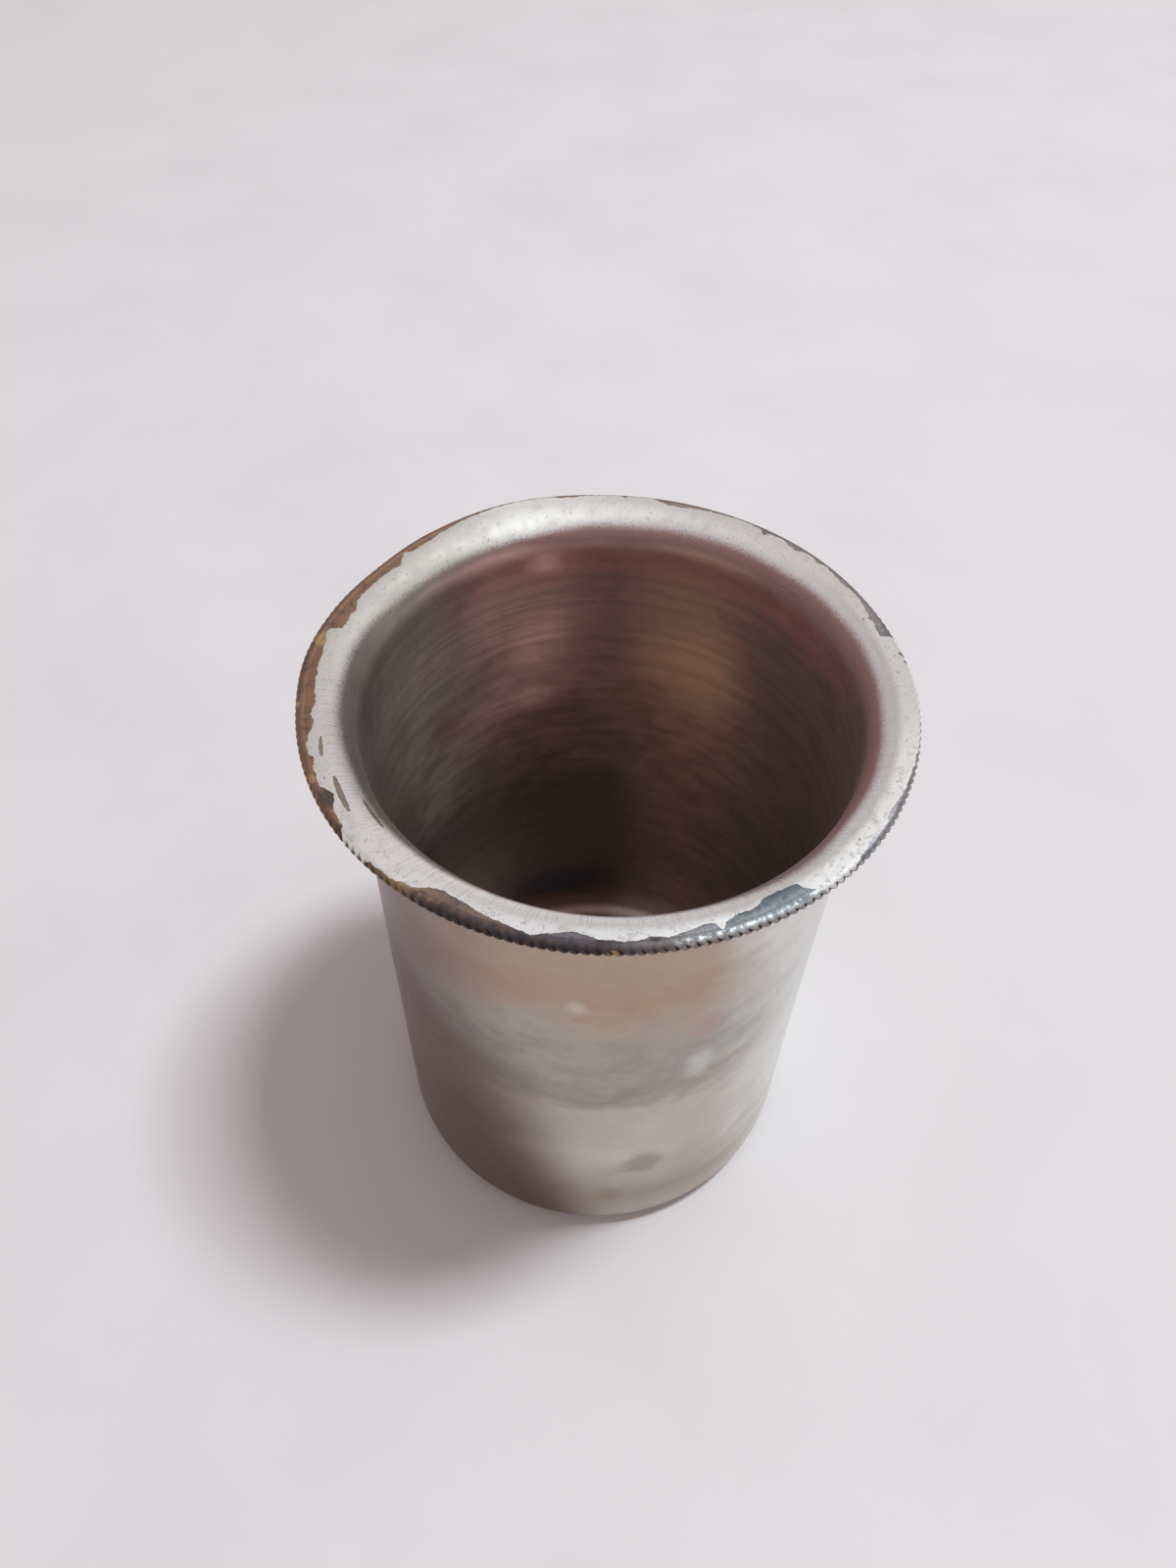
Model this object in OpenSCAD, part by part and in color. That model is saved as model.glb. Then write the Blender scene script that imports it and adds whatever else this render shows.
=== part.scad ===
// Small plated tumbler: a spun brass cup with a broad flared lip, a rope-milled wire
// soldered round the lip's edge, and what is left of its silver plate.
// Millimetres. The cup stands on z = 0 with its axis on Z.

/* [Cup] */
// Height from the table to the top of the lip
cup_h = 65; // [45:0.5:80]
// Inside diameter of the brass wall
bore_d = 43; // [30:0.5:60]
// Thickness of the brass sheet
wall = 0.5; // [0.4:0.05:0.8]
// Outside radius of the bottom edge
foot_r = 3; // [1.5:0.1:5]
// Width of the flat ring that the cup stands on
rest_w = 4; // [2:0.5:6]
// Rise of the bottom's middle above the table
push_up = 0.8; // [0.6:0.05:2]

/* [Lip] */
// Radius of the bend from the wall into the lip, on its upper face
lip_bend_r = 3.2; // [1.6:0.1:5]
// Width of the lip's flat edge, outside the bend
lip_flat = 0.45; // [0.3:0.05:2]

/* [Milled wire] */
// Height of the half-round wire
wire_h = 1.2; // [1.1:0.05:1.6]
// Width of the wire outside its seat
wire_w = 0.8; // [0.7:0.05:1]
// Gap that the solder fills between the lip's edge and the wire
solder_gap = 0.05; // [0.02:0.01:0.1]
// Distance from one notch of the milling to the next, round the edge
notch_pitch = 0.8; // [0.7:0.05:1.2]
// Depth of a notch
notch_depth = 0.22; // [0.12:0.01:0.25]
// Slant of a notch, in degrees from upright
notch_slant = 40; // [0:1:45]

/* [Plate] */
// Thickness of the silver plate
plate_t = 0.06; // [0.05:0.01:0.12]
// Height of the bottom edge that is scuffed down to the brass
scuff_h = 0.3; // [0.2:0.05:0.4]
// Width of the scuffed band inside the standing ring, under the bottom
scuff_w = 2.5; // [2:0.5:4]

/* [Hidden] */
$fn = 180;

brass = "#8a6a45";
clean_silver = "#d2d0cf";
tarnished_silver = "#9c9488";

// The wall bends out into the lip about a point outside it, and in to the bottom about
// a point inside it. The lip's brass lies one plate below the top.
bore_r = bore_d / 2;
lip_top = cup_h - plate_t;
lip_bend_c = [bore_r + lip_bend_r, lip_top - lip_bend_r];
foot_in_r = foot_r - wall;
foot_c = [bore_r - foot_in_r, foot_r];

// The lip's flat edge lies on the wire's ledge and ends at the wire's seat.
ledge_r = lip_bend_c[0];
lip_edge_r = ledge_r + lip_flat;
seat_r = lip_edge_r + solder_gap;
lip_d = 2 * (seat_r + wire_w);

// Inside the flat ring the bottom is a shallow dome, drawn finely because its radius is long.
rest_r = foot_c[0] - rest_w;
dome_r = (pow(rest_r, 2) + pow(push_up, 2)) / (2 * push_up);
dome_c = [0, push_up + wall - dome_r];
dome_fn = 720;

// The half-round wire stands level with the plate's top.
wire_r = wire_h / 2;
wire_c = [lip_d / 2 - wire_r, cup_h - wire_r];
notch_count = round(PI * lip_d / notch_pitch);

// Where the plate has flaked off along the lip: start and end angle, from +X round
// to +Y, and the greatest reach in from the lip's edge.
flakes = [
    [15, 24, 0.7],
    [117, 163, 0.4],
    [163, 192, 1.1],
    [195, 217, 0.4],
    [235, 257, 0.7],
    [258, 269, 0.5],
    [281, 289, 0.5],
    [290, 307, 1.5],
];
flake_steps = 12;

// The space inside the sheet's face at a depth d into the sheet, in section: the cup's
// hollow at depth 0, and all that the cup encloses at the depth of its wall.
// It ends at one height above the lip, whatever the depth.
module inside(d) {
    top = cup_h + lip_bend_r;
    difference() {
        union() {
            translate([0, foot_c[1]])
                square([bore_r + d, top - foot_c[1]]);
            translate([0, lip_bend_c[1]])
                square([lip_bend_c[0], top - lip_bend_c[1]]);
            translate([0, lip_top - d])
                square([lip_edge_r, top - lip_top + d]);
            translate([0, wall - d])
                square([foot_c[0], foot_r + d]);
            translate(foot_c)
                circle(r = foot_in_r + d);
        }
        translate(lip_bend_c)
            circle(r = lip_bend_r - d);
        translate(dome_c)
            circle(r = dome_r - d, $fn = dome_fn);
    }
}

// The section of a layer of the cup, from depth a to depth b into its sheet.
module layer(a, b) {
    difference() {
        inside(b);
        inside(a);
    }
}

// The spun cup: domed bottom, standing ring, rounded edge, wall and flared lip.
module body_shell() {
    color(brass)
        rotate_extrude()
            layer(0, wall);
}

// The wire's section: half round outside, with a ledge under the lip's edge.
module wire_section() {
    difference() {
        union() {
            translate(wire_c)
                circle(r = wire_r);
            translate([ledge_r, cup_h - wire_h])
                square([wire_c[0] - ledge_r, wire_h]);
        }
        translate([seat_r - wire_h, lip_top - wall])
            square([wire_h, wire_h]);
    }
}

// One slanted V-shaped notch, standing where it cuts the wire's outer face.
module notch() {
    translate([lip_d / 2, 0, wire_c[1]])
        rotate([notch_slant, 0, 0])
            cylinder(r = notch_depth, h = 3 * wire_h, center = true, $fn = 4);
}

// The milled wire, soldered round the lip's edge.
module rim_wire() {
    color(brass)
        difference() {
            rotate_extrude()
                wire_section();
            for (i = [0 : notch_count - 1])
                rotate(360 * i / notch_count)
                    notch();
        }
}

// A direction in the plan, from its angle.
function unit(angle) = [cos(angle), sin(angle)];

// A flake's outline: a bite from the plate's outer edge that rounds off at both ends.
module flake(from, to, reach) {
    inner = [for (i = [0 : flake_steps]) let (t = i / flake_steps)
        (lip_edge_r - reach * sqrt(sin(180 * t))) * unit(from + (to - from) * t)];
    outer = [for (i = [flake_steps : -1 : 0])
        (lip_edge_r + wire_w) * unit(from + (to - from) * i / flake_steps)];
    polygon(concat(inner, outer));
}

// The plate inside the cup and over the lip, flaked along its outer edge.
module inner_plate() {
    color(clean_silver)
        difference() {
            rotate_extrude()
                layer(-plate_t, 0);
            for (f = flakes)
                translate([0, 0, lip_top - lip_bend_r / 2])
                    linear_extrude(lip_bend_r)
                        flake(f[0], f[1], f[2]);
        }
}

// The plate outside, from the wire's ledge down to the scuffed bottom edge.
module outer_plate() {
    color(tarnished_silver)
        rotate_extrude()
            intersection() {
                layer(wall, wall + plate_t);
                translate([rest_r, scuff_h])
                    square([ledge_r - rest_r, cup_h]);
            }
}

// The plate under the bottom's dome, inside the scuffed standing ring.
module base_plate() {
    color(tarnished_silver)
        rotate_extrude()
            intersection() {
                layer(wall, wall + plate_t);
                square([rest_r - scuff_w, 2 * push_up]);
            }
}

body_shell();
rim_wire();
inner_plate();
outer_plate();
base_plate();
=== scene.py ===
"""Looks of a small plated tumbler: satin plate flaking off a milled lip, over tarnished brass."""
import logging
import math
from collections.abc import Mapping, Sequence
from dataclasses import dataclass, field
from enum import Enum

import bpy
import numpy as np
from mathutils import Matrix, Vector


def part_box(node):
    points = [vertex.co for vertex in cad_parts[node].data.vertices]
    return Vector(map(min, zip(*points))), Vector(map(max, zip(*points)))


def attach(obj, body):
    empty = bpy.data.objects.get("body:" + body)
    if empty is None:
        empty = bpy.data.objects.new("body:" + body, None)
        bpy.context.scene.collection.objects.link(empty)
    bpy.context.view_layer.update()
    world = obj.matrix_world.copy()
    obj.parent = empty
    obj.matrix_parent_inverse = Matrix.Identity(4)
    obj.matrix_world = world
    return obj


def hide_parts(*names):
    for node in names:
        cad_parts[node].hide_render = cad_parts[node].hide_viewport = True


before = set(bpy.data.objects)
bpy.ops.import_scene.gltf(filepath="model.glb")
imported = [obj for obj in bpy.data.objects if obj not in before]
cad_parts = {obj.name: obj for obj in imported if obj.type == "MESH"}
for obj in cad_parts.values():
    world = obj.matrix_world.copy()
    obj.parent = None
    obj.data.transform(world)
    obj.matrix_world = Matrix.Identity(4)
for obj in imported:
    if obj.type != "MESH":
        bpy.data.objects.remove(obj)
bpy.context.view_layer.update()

log = logging.getLogger("tumbler")

MM = 0.001
TURN = 360.0
HALF_TURN = 180.0
AXIS_R = MM / 1000
NEAR_ZERO = 1e-7
DOME_STEPS = 12
FOOT_STEPS = 12
BEND_STEPS = 30

Color = tuple[float, float, float]
Section = list[tuple[float, float]]

# Colours along a value from 0 to 1.
Stops = tuple[tuple[float, Color], ...]

# A soft mark: its angle in degrees, its height or radius in millimetres, and its two half sizes.
Mark = tuple[float, float, float, float]

# A stretch round the axis, in degrees: its middle, and how far from it it starts and is full.
Sector = tuple[float, float, float]


class Slot(Enum):
    """Material slots of the record."""

    BRASS = "brass"
    MILLED_BRASS = "milled_brass"
    BRIGHT_PLATE = "bright_plate"
    DULL_PLATE = "dull_plate"


@dataclass(frozen=True)
class CupSizes:
    """Sizes of the tumbler in metres: those with a value are set here, the rest is the frame's."""

    height: float
    lip_top: float
    lip_edge_r: float
    ledge_r: float
    rim_r: float
    wire_low: float
    wall: float
    scuff_h: float
    base_plate_r: float
    bore_r: float = 21.5 * MM
    foot_r: float = 3.0 * MM
    rest_w: float = 4.0 * MM
    push_up: float = 0.8 * MM
    plate_lap: float = 0.5 * MM

    @classmethod
    def from_frame(cls) -> "CupSizes":
        """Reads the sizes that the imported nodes' boxes give.

        Returns:
            The tumbler's sizes.
        """
        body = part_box("body_shell")
        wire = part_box("rim_wire")
        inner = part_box("inner_plate")
        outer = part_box("outer_plate")
        return cls(
            height=inner[1].z,
            lip_top=body[1].z,
            lip_edge_r=body[1].x,
            ledge_r=outer[1].x,
            rim_r=wire[1].x,
            wire_low=wire[0].z,
            wall=inner[0].z,
            scuff_h=outer[0].z,
            base_plate_r=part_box("base_plate")[1].x,
        )

    @property
    def plate_t(self) -> float:
        """Thickness of the plate."""
        return self.height - self.lip_top

    @property
    def outside(self) -> tuple[float, float]:
        """Depths of the brass's and the plate's outer faces, below the brass's inner face."""
        return self.wall, self.wall + self.plate_t

    @property
    def bend_c(self) -> tuple[float, float]:
        """Centre of the bend from the wall into the lip."""
        return self.ledge_r, self.lip_top - self.bend_r

    @property
    def bend_r(self) -> float:
        """Radius of that bend on the brass's upper face."""
        return self.ledge_r - self.bore_r

    @property
    def plate_seam_z(self) -> float:
        """Height in the bore at which the lip's plate meets the bore's."""
        return self.bend_c[1] - self.plate_lap

    @property
    def foot_c(self) -> tuple[float, float]:
        """Centre of the bottom edge's curve."""
        return self.bore_r + self.wall - self.foot_r, self.foot_r

    @property
    def dome(self) -> tuple[float, float]:
        """The bottom's dome.

        Returns:
            The height of its centre, and its radius on the brass's upper face.
        """
        half = self.foot_c[0] - self.rest_w
        radius = (half**2 + self.push_up**2) / (2 * self.push_up)
        return self.push_up + self.wall - radius, radius

    @property
    def wire_c(self) -> tuple[float, float]:
        """Centre of the half-round wire's section."""
        return self.rim_r - self.wire_radius, self.height - self.wire_radius

    @property
    def wire_radius(self) -> float:
        """Radius of the half-round wire's section."""
        return (self.height - self.wire_low) / 2


def arc(
    center: tuple[float, float], radius: float, start: float, end: float, steps: int
) -> Section:
    """Points along an arc of a section.

    Args:
        center: Radius and height of the arc's centre.
        radius: Radius of the arc.
        start: First angle in degrees, from outwards round to upwards.
        end: Last angle in degrees.
        steps: How many stretches the arc is cut into.

    Returns:
        The points, both ends included.
    """
    angles = np.radians(np.linspace(start, end, steps + 1))
    return [(center[0] + radius * math.cos(a), center[1] + radius * math.sin(a)) for a in angles]


def cup_face(cup: CupSizes, depth: float) -> Section:
    """The cup's face at a depth into its sheet, from the axis over the floor to the bend's end.

    Args:
        cup: The tumbler's sizes.
        depth: Depth below the brass's inner face; below zero is towards the plate's face.

    Returns:
        The face's points.
    """
    dome_z, dome_r = cup.dome
    dome_r -= depth
    floor_z = cup.wall - depth
    tilt = math.degrees(math.acos((floor_z - dome_z) / dome_r))
    foot_in = cup.foot_r - cup.wall + depth
    return (
        arc((0.0, dome_z), dome_r, 90.0, 90.0 - tilt, DOME_STEPS)
        + arc(cup.foot_c, foot_in, -90.0, 0.0, FOOT_STEPS)
        + [(cup.foot_c[0] + foot_in, cup.height / 2)]
        + arc(cup.bend_c, cup.bend_r - depth, 180.0, 90.0, BEND_STEPS)
    )


def turn(name: str, section: Section, columns: int) -> bpy.types.Object:
    """Turns a closed section about the axis into a piece.

    Args:
        name: Name of the piece.
        section: Points of the section, seen with the axis on the left and running clockwise.
        columns: How many stretches go round.

    Returns:
        The new object, with normals outwards.
    """
    angles = np.arange(columns) * 2 * math.pi / columns
    rings: list[list[int]] = []
    points: list[tuple[float, float, float]] = []
    for radius, height in section:
        if radius < AXIS_R:
            rings.append([len(points)] * columns)
            points.append((0.0, 0.0, height))
            continue
        rings.append(list(range(len(points), len(points) + columns)))
        points += [(radius * math.cos(a), radius * math.sin(a), height) for a in angles]
    faces = []
    for low, high in zip(rings, rings[1:] + rings[:1]):
        for i in range(columns):
            j = (i + 1) % columns
            corners = list(dict.fromkeys((low[i], low[j], high[j], high[i])))
            if len(corners) > 2:
                faces.append(corners)
    return piece_from(name, points, faces)


def piece_from(
    name: str, points: Sequence[Sequence[float]], faces: Sequence[Sequence[int]]
) -> bpy.types.Object:
    """Makes a smooth-shaded piece with crisp edges.

    Args:
        name: Name of the piece.
        points: Places of its vertices.
        faces: Vertex numbers of each face.

    Returns:
        The new object, in the scene.
    """
    mesh = bpy.data.meshes.new(name)
    mesh.from_pydata([tuple(p) for p in points], [], [list(f) for f in faces])
    mesh.validate()
    shade(mesh)
    piece = bpy.data.objects.new(name, mesh)
    bpy.context.scene.collection.objects.link(piece)
    return piece


def shade(mesh: bpy.types.Mesh, crisp_deg: float = 40.0) -> None:
    """Shades a mesh smooth, with edges over an angle left sharp."""
    mesh.shade_smooth()
    mesh.set_sharp_from_angle(angle=math.radians(crisp_deg))


def vertex_places(mesh: bpy.types.Mesh) -> np.ndarray:
    """Reads where a mesh's vertices are.

    Args:
        mesh: The mesh.

    Returns:
        Their places, one row for each vertex.
    """
    places = np.zeros(len(mesh.vertices) * 3, np.float32)
    mesh.vertices.foreach_get("co", places)
    return places.reshape(-1, 3)


def ease(value: np.ndarray, start: float, end: float) -> np.ndarray:
    """Goes smoothly from 0 at one number to 1 at another, which may be the smaller."""
    share = np.clip((value - start) / (end - start), 0.0, 1.0)
    return share * share * (3 - 2 * share)


def turned_from(angle: np.ndarray, middle: float) -> np.ndarray:
    """How far angles lie from a middle one, in degrees to either side."""
    return (angle - middle + HALF_TURN) % TURN - HALF_TURN


@dataclass(frozen=True)
class RimShape:
    """Where use has knocked the lip out of round, and how far the mouth is off its centre.

    A knock has its angle and width in degrees, and how far it moves the edge outwards.
    """

    knocks: tuple[tuple[float, float, float], ...] = (
        (22.0, 15.0, -0.16 * MM),
        (112.0, 13.0, 0.32 * MM),
        (146.0, 9.0, -0.22 * MM),
        (174.0, 10.0, 0.20 * MM),
    )
    steady_r: float = 22.6 * MM
    loose_r: float = 25.0 * MM
    steady_z: float = 60.0 * MM
    mouth_shift: tuple[float, float] = (0.30 * MM, -0.20 * MM)
    mouth_r: float = 23.2 * MM
    mouth_end_r: float = 24.6 * MM

    def apply(self, mesh: bpy.types.Mesh, cup: CupSizes) -> None:
        """Moves a mesh's vertices with the lip's edge and with the mouth.

        Args:
            mesh: The mesh; what lies below half the tumbler's height stays.
            cup: The tumbler's sizes.
        """
        places = vertex_places(mesh)
        radius = np.maximum(np.hypot(places[:, 0], places[:, 1]), MM)
        angle = np.degrees(np.arctan2(places[:, 1], places[:, 0]))
        share = ease(radius, self.steady_r, self.loose_r) * (places[:, 2] > self.steady_z)
        push = np.zeros_like(radius)
        for middle, width, reach in self.knocks:
            push += reach * np.exp(-((turned_from(angle, middle) / width) ** 2))
        half = cup.height / 2
        mouth = ease(radius, self.mouth_end_r, self.mouth_r)
        mouth *= np.clip((places[:, 2] - half) / (cup.bend_c[1] - half), 0.0, 1.0)
        places[:, :2] *= (1.0 + share * push / radius)[:, None]
        places[:, :2] += mouth[:, None] * np.array(self.mouth_shift)
        mesh.vertices.foreach_set("co", places.ravel())
        mesh.update()


@dataclass
class SubAssembly:
    """Pieces that are built on one cup and dressed in one way."""

    cup: CupSizes

    def dress(
        self, piece: bpy.types.Object, slot: Slot, material: bpy.types.Material, *nodes: str
    ) -> None:
        """Gives a finished piece its wear and its finish, and puts it in the frame.

        Args:
            piece: The piece.
            slot: Not used.
            material: Its finish.
            nodes: The CAD nodes that it stands for.
        """
        RimShape().apply(piece.data, self.cup)
        piece.data.materials.clear()
        piece.data.materials.append(material)
        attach(piece, "root")
        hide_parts(*nodes)
        log.info("%s: %d faces", piece.name, len(piece.data.polygons))


@dataclass(frozen=True)
class Island:
    """A spot inside the plate where it has flaked off."""

    angle: float
    radius: float
    length: float
    width: float
    drift: float = 0.0


@dataclass(frozen=True)
class FlakeMap:
    """Where the plate still covers the lip: its ragged outer border, and the spots it has lost.

    Angles are in degrees from +X round to +Y, radii and lengths in millimetres.
    """

    border: tuple[tuple[float, float], ...] = (
        (0, 25.92), (7, 25.92), (8, 25.4), (9, 25.95), (10.2, 25.3), (11.2, 25.95), (14.8, 25.9),
        (15.6, 24.6), (18.5, 24.7), (20, 24.95), (21, 24.7), (22.5, 25.0), (26, 25.2), (30, 25.25),
        (33, 25.1), (36, 25.3), (39, 25.4), (40.5, 25.0), (42, 25.35), (44, 25.3), (46, 24.95),
        (48.5, 25.0), (50, 25.35), (53.3, 25.3), (54.3, 24.75), (55.5, 25.25), (60, 25.5),
        (66, 25.35), (70, 25.2), (73, 24.95), (77, 24.85), (79, 25.2), (81, 25.6), (86, 25.6),
        (87, 25.3), (88, 25.7), (96, 25.5), (101, 25.2), (103, 25.6), (115, 25.5), (122, 25.3),
        (129, 25.0), (134, 24.7), (138, 24.7), (139.5, 25.1), (141, 24.8), (143, 24.2), (146, 24.5),
        (157, 24.45), (159, 24.1), (165.5, 24.05), (166.5, 24.9), (168, 24.95), (169.5, 24.6),
        (174, 24.5), (180, 24.4), (187, 24.35), (190, 24.7), (191.5, 24.45), (193, 24.5),
        (194.5, 24.85), (197, 25.2), (200, 25.2), (200.8, 24.85), (203, 25.2), (208, 25.2),
        (210.5, 24.6), (212, 24.8), (214, 25.2), (218, 25.35), (220.5, 26.3), (226, 26.2),
        (227, 25.7), (232, 25.7), (235, 25.4), (237, 25.2), (238.5, 24.6), (241, 24.35),
        (245, 24.5), (250, 24.9), (255, 25.2), (258, 25.4), (260.5, 25.05), (264, 24.7),
        (266, 24.7), (268, 25.0), (272, 25.2), (276, 25.2), (277, 24.9), (279, 24.95),
        (280, 25.15), (284, 24.85), (286.5, 24.65), (288.3, 24.7), (288.8, 25.35), (289.5, 25.35),
        (290, 24.95), (292.5, 24.5), (295.5, 24.5), (297, 24.3), (297.8, 23.85), (301, 23.8),
        (304, 23.95), (305, 24.15), (305.3, 24.8), (306.3, 25.25), (308, 25.65), (309, 26.3),
        (315, 26.1), (318, 25.6), (322, 25.35), (326, 25.55), (330, 25.3), (334, 25.45),
        (338, 25.6), (343, 25.7), (347, 25.85), (352, 25.92), (360, 25.92),
    )
    islands: tuple[Island, ...] = (
        Island(198.5, 24.22, 2.5, 0.26, 0.12),
        Island(211.2, 24.15, 4.2, 0.42, 0.16),
        Island(217.0, 22.92, 4.0, 0.30, 0.05),
        Island(206.5, 24.70, 0.25, 0.12),
        Island(223.5, 24.40, 0.30, 0.10, 0.05),
        Island(191.0, 24.25, 0.20, 0.10),
        Island(316.5, 24.85, 0.35, 0.12, 0.06),
        Island(320.5, 24.65, 0.30, 0.14),
        Island(21.5, 24.15, 0.30, 0.14),
        Island(9.5, 24.9, 0.25, 0.10),
        Island(5.0, 24.7, 0.18, 0.08),
        Island(328.0, 24.9, 0.22, 0.09),
        Island(249.5, 24.2, 0.25, 0.07),
    )
    ragged: float = 0.06
    waves: tuple[tuple[int, float], ...] = ((360, 1.0), (820, 0.7), (1700, 0.35))
    island_stretch: float = 1.7
    island_calm: float = 3.0
    seed: int = 7

    def cover(self, angle: np.ndarray, radius: np.ndarray) -> np.ndarray:
        """How far inside the plate a place on the lip lies.

        Args:
            angle: Angles of the places, in degrees.
            radius: Their radii in millimetres.

        Returns:
            Distances in millimetres, below zero where the plate is gone.
        """
        knots = np.array(self.border)
        edge = np.interp(angle % TURN, knots[:, 0], knots[:, 1]) + self.fray(angle)
        inside = edge - radius
        uneven = self.fray(angle * self.island_stretch) / self.island_calm
        for spot in self.islands:
            along = turned_from(angle, spot.angle) * math.pi / HALF_TURN * spot.radius
            across = radius - spot.radius - along / spot.length * spot.drift * 2
            reach = np.hypot(along * 2 / spot.length, across * 2 / spot.width)
            inside = np.minimum(inside, (reach - 1.0) * spot.width / 2 + uneven)
        return inside

    def fray(self, angle: np.ndarray) -> np.ndarray:
        """Seeded unevenness of the border.

        Args:
            angle: Angles of the places, in degrees.

        Returns:
            Shifts of the border in millimetres.
        """
        draw = np.random.default_rng(self.seed)
        total = np.zeros_like(angle)
        for waves, share in self.waves:
            heights = draw.uniform(-1.0, 1.0, waves)
            place = (angle % TURN) / TURN * waves
            low = np.floor(place).astype(int) % waves
            part = ease(place - np.floor(place), 0.0, 1.0)
            total += share * (heights[low] * (1 - part) + heights[(low + 1) % waves] * part)
        return self.ragged * total


@dataclass
class LipPlate(SubAssembly):
    """The plate over the lip, cut along the border of what has flaked off, with its thickness."""

    flakes: FlakeMap
    columns: int = 1200
    row_step: float = 0.12 * MM
    steep_deg: float = 135.0
    steep_steps: int = 7
    shoulder_r: float = 25.75 * MM
    least_cover: float = 0.004

    def face(self) -> tuple[Section, Section]:
        """The plate's face, from the wall over the bend to the wire's shoulder.

        Returns:
            Points of the face, and the normals there.
        """
        cup = self.cup
        steep = arc(cup.bend_c, cup.bend_r + cup.plate_t, 180.0, self.steep_deg, self.steep_steps)
        rows = [(steep[0][0], steep[0][1] - cup.plate_lap)] + steep
        flat_from = np.arange(steep[-1][0] + self.row_step, self.shoulder_r, self.row_step)
        rows += [(r, self.height_at(r)) for r in flat_from]
        along = np.gradient(np.array(rows), axis=0)
        along /= np.linalg.norm(along, axis=1)[:, None]
        return rows, [(-a[1], a[0]) for a in along]

    def height_at(self, radius: float) -> float:
        """Height of the plate's face on the bend, the lip's flat or the wire's shoulder.

        Args:
            radius: Distance from the axis.

        Returns:
            The height.
        """
        cup = self.cup
        if radius < cup.bend_c[0]:
            reach = cup.bend_r + cup.plate_t
            return cup.bend_c[1] + math.sqrt(reach**2 - (cup.bend_c[0] - radius) ** 2)
        if radius < cup.wire_c[0]:
            return cup.height
        return cup.wire_c[1] + math.sqrt(cup.wire_radius**2 - (radius - cup.wire_c[0]) ** 2)

    def spin(self, section: Section, angle: np.ndarray) -> np.ndarray:
        """Points or directions of a section at angles in degrees, rows by columns by 3."""
        round_axis = list(zip(np.cos(np.radians(angle)), np.sin(np.radians(angle))))
        return np.array([[(r * c, r * s, z) for c, s in round_axis] for r, z in section])

    def build(self) -> bpy.types.Object:
        """Makes the plate.

        Returns:
            The plate, as a closed thin shell.
        """
        rows, normals = self.face()
        angle = np.arange(self.columns) * TURN / self.columns
        radius = np.array(rows)[:, 0]
        cover = self.flakes.cover(
            np.broadcast_to(angle, (len(rows), self.columns)),
            np.repeat(radius[:, None] / MM, self.columns, axis=1),
        )
        cover = np.where(np.abs(cover) < self.least_cover, self.least_cover, cover)
        points, leans, faces = clip_grid(self.spin(rows, angle), self.spin(normals, angle), cover)
        count = len(points)
        under = points - leans * self.cup.plate_t
        edges: dict[tuple[int, int], None] = {}
        for corners in faces:
            for a, b in zip(corners, corners[1:] + corners[:1]):
                edges[a, b] = None
        sides = [(b, a, a + count, b + count) for a, b in edges if (b, a) not in edges]
        below = [[i + count for i in reversed(corners)] for corners in faces]
        return piece_from("lip_plate", np.concatenate([points, under]), faces + below + sides)


def clip_grid(
    places: np.ndarray, normals: np.ndarray, cover: np.ndarray
) -> tuple[np.ndarray, np.ndarray, list[list[int]]]:
    """Cuts a grid that closes round on itself along the zero line of a field.

    Args:
        places: Grid points, rows by columns by 3.
        normals: Outward directions at those points.
        cover: The field at those points; what is above zero stays.

    Returns:
        The points that stay, their normals, and the faces between them.
    """
    rows, columns = cover.shape
    used: dict[tuple[int, ...], int] = {}
    points: list[np.ndarray] = []
    leans: list[np.ndarray] = []

    def vertex(a: tuple[int, int], b: tuple[int, int] | None = None) -> int:
        """Finds or makes a vertex.

        Args:
            a: A grid point.
            b: The grid point on the other side of a cut, if the vertex is on a cut.

        Returns:
            The vertex's number.
        """
        key = a if b is None else (*min(a, b), *max(a, b))
        if key not in used:
            used[key] = len(points)
            share = 0.0 if b is None else cover[a] / (cover[a] - cover[b])
            end = a if b is None else b
            points.append(places[a] + (places[end] - places[a]) * share)
            leans.append(normals[a] + (normals[end] - normals[a]) * share)
        return used[key]

    faces = []
    for i in range(rows - 1):
        for j in range(columns):
            k = (j + 1) % columns
            ring = [(i, j), (i, k), (i + 1, k), (i + 1, j)]
            corners = []
            for a, b in zip(ring, ring[1:] + ring[:1]):
                if cover[a] > 0:
                    corners.append(vertex(a))
                if (cover[a] > 0) != (cover[b] > 0):
                    corners.append(vertex(a, b))
            if len(corners) > 2:
                faces.append(corners)
    return np.array(points), np.array(leans), faces


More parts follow.
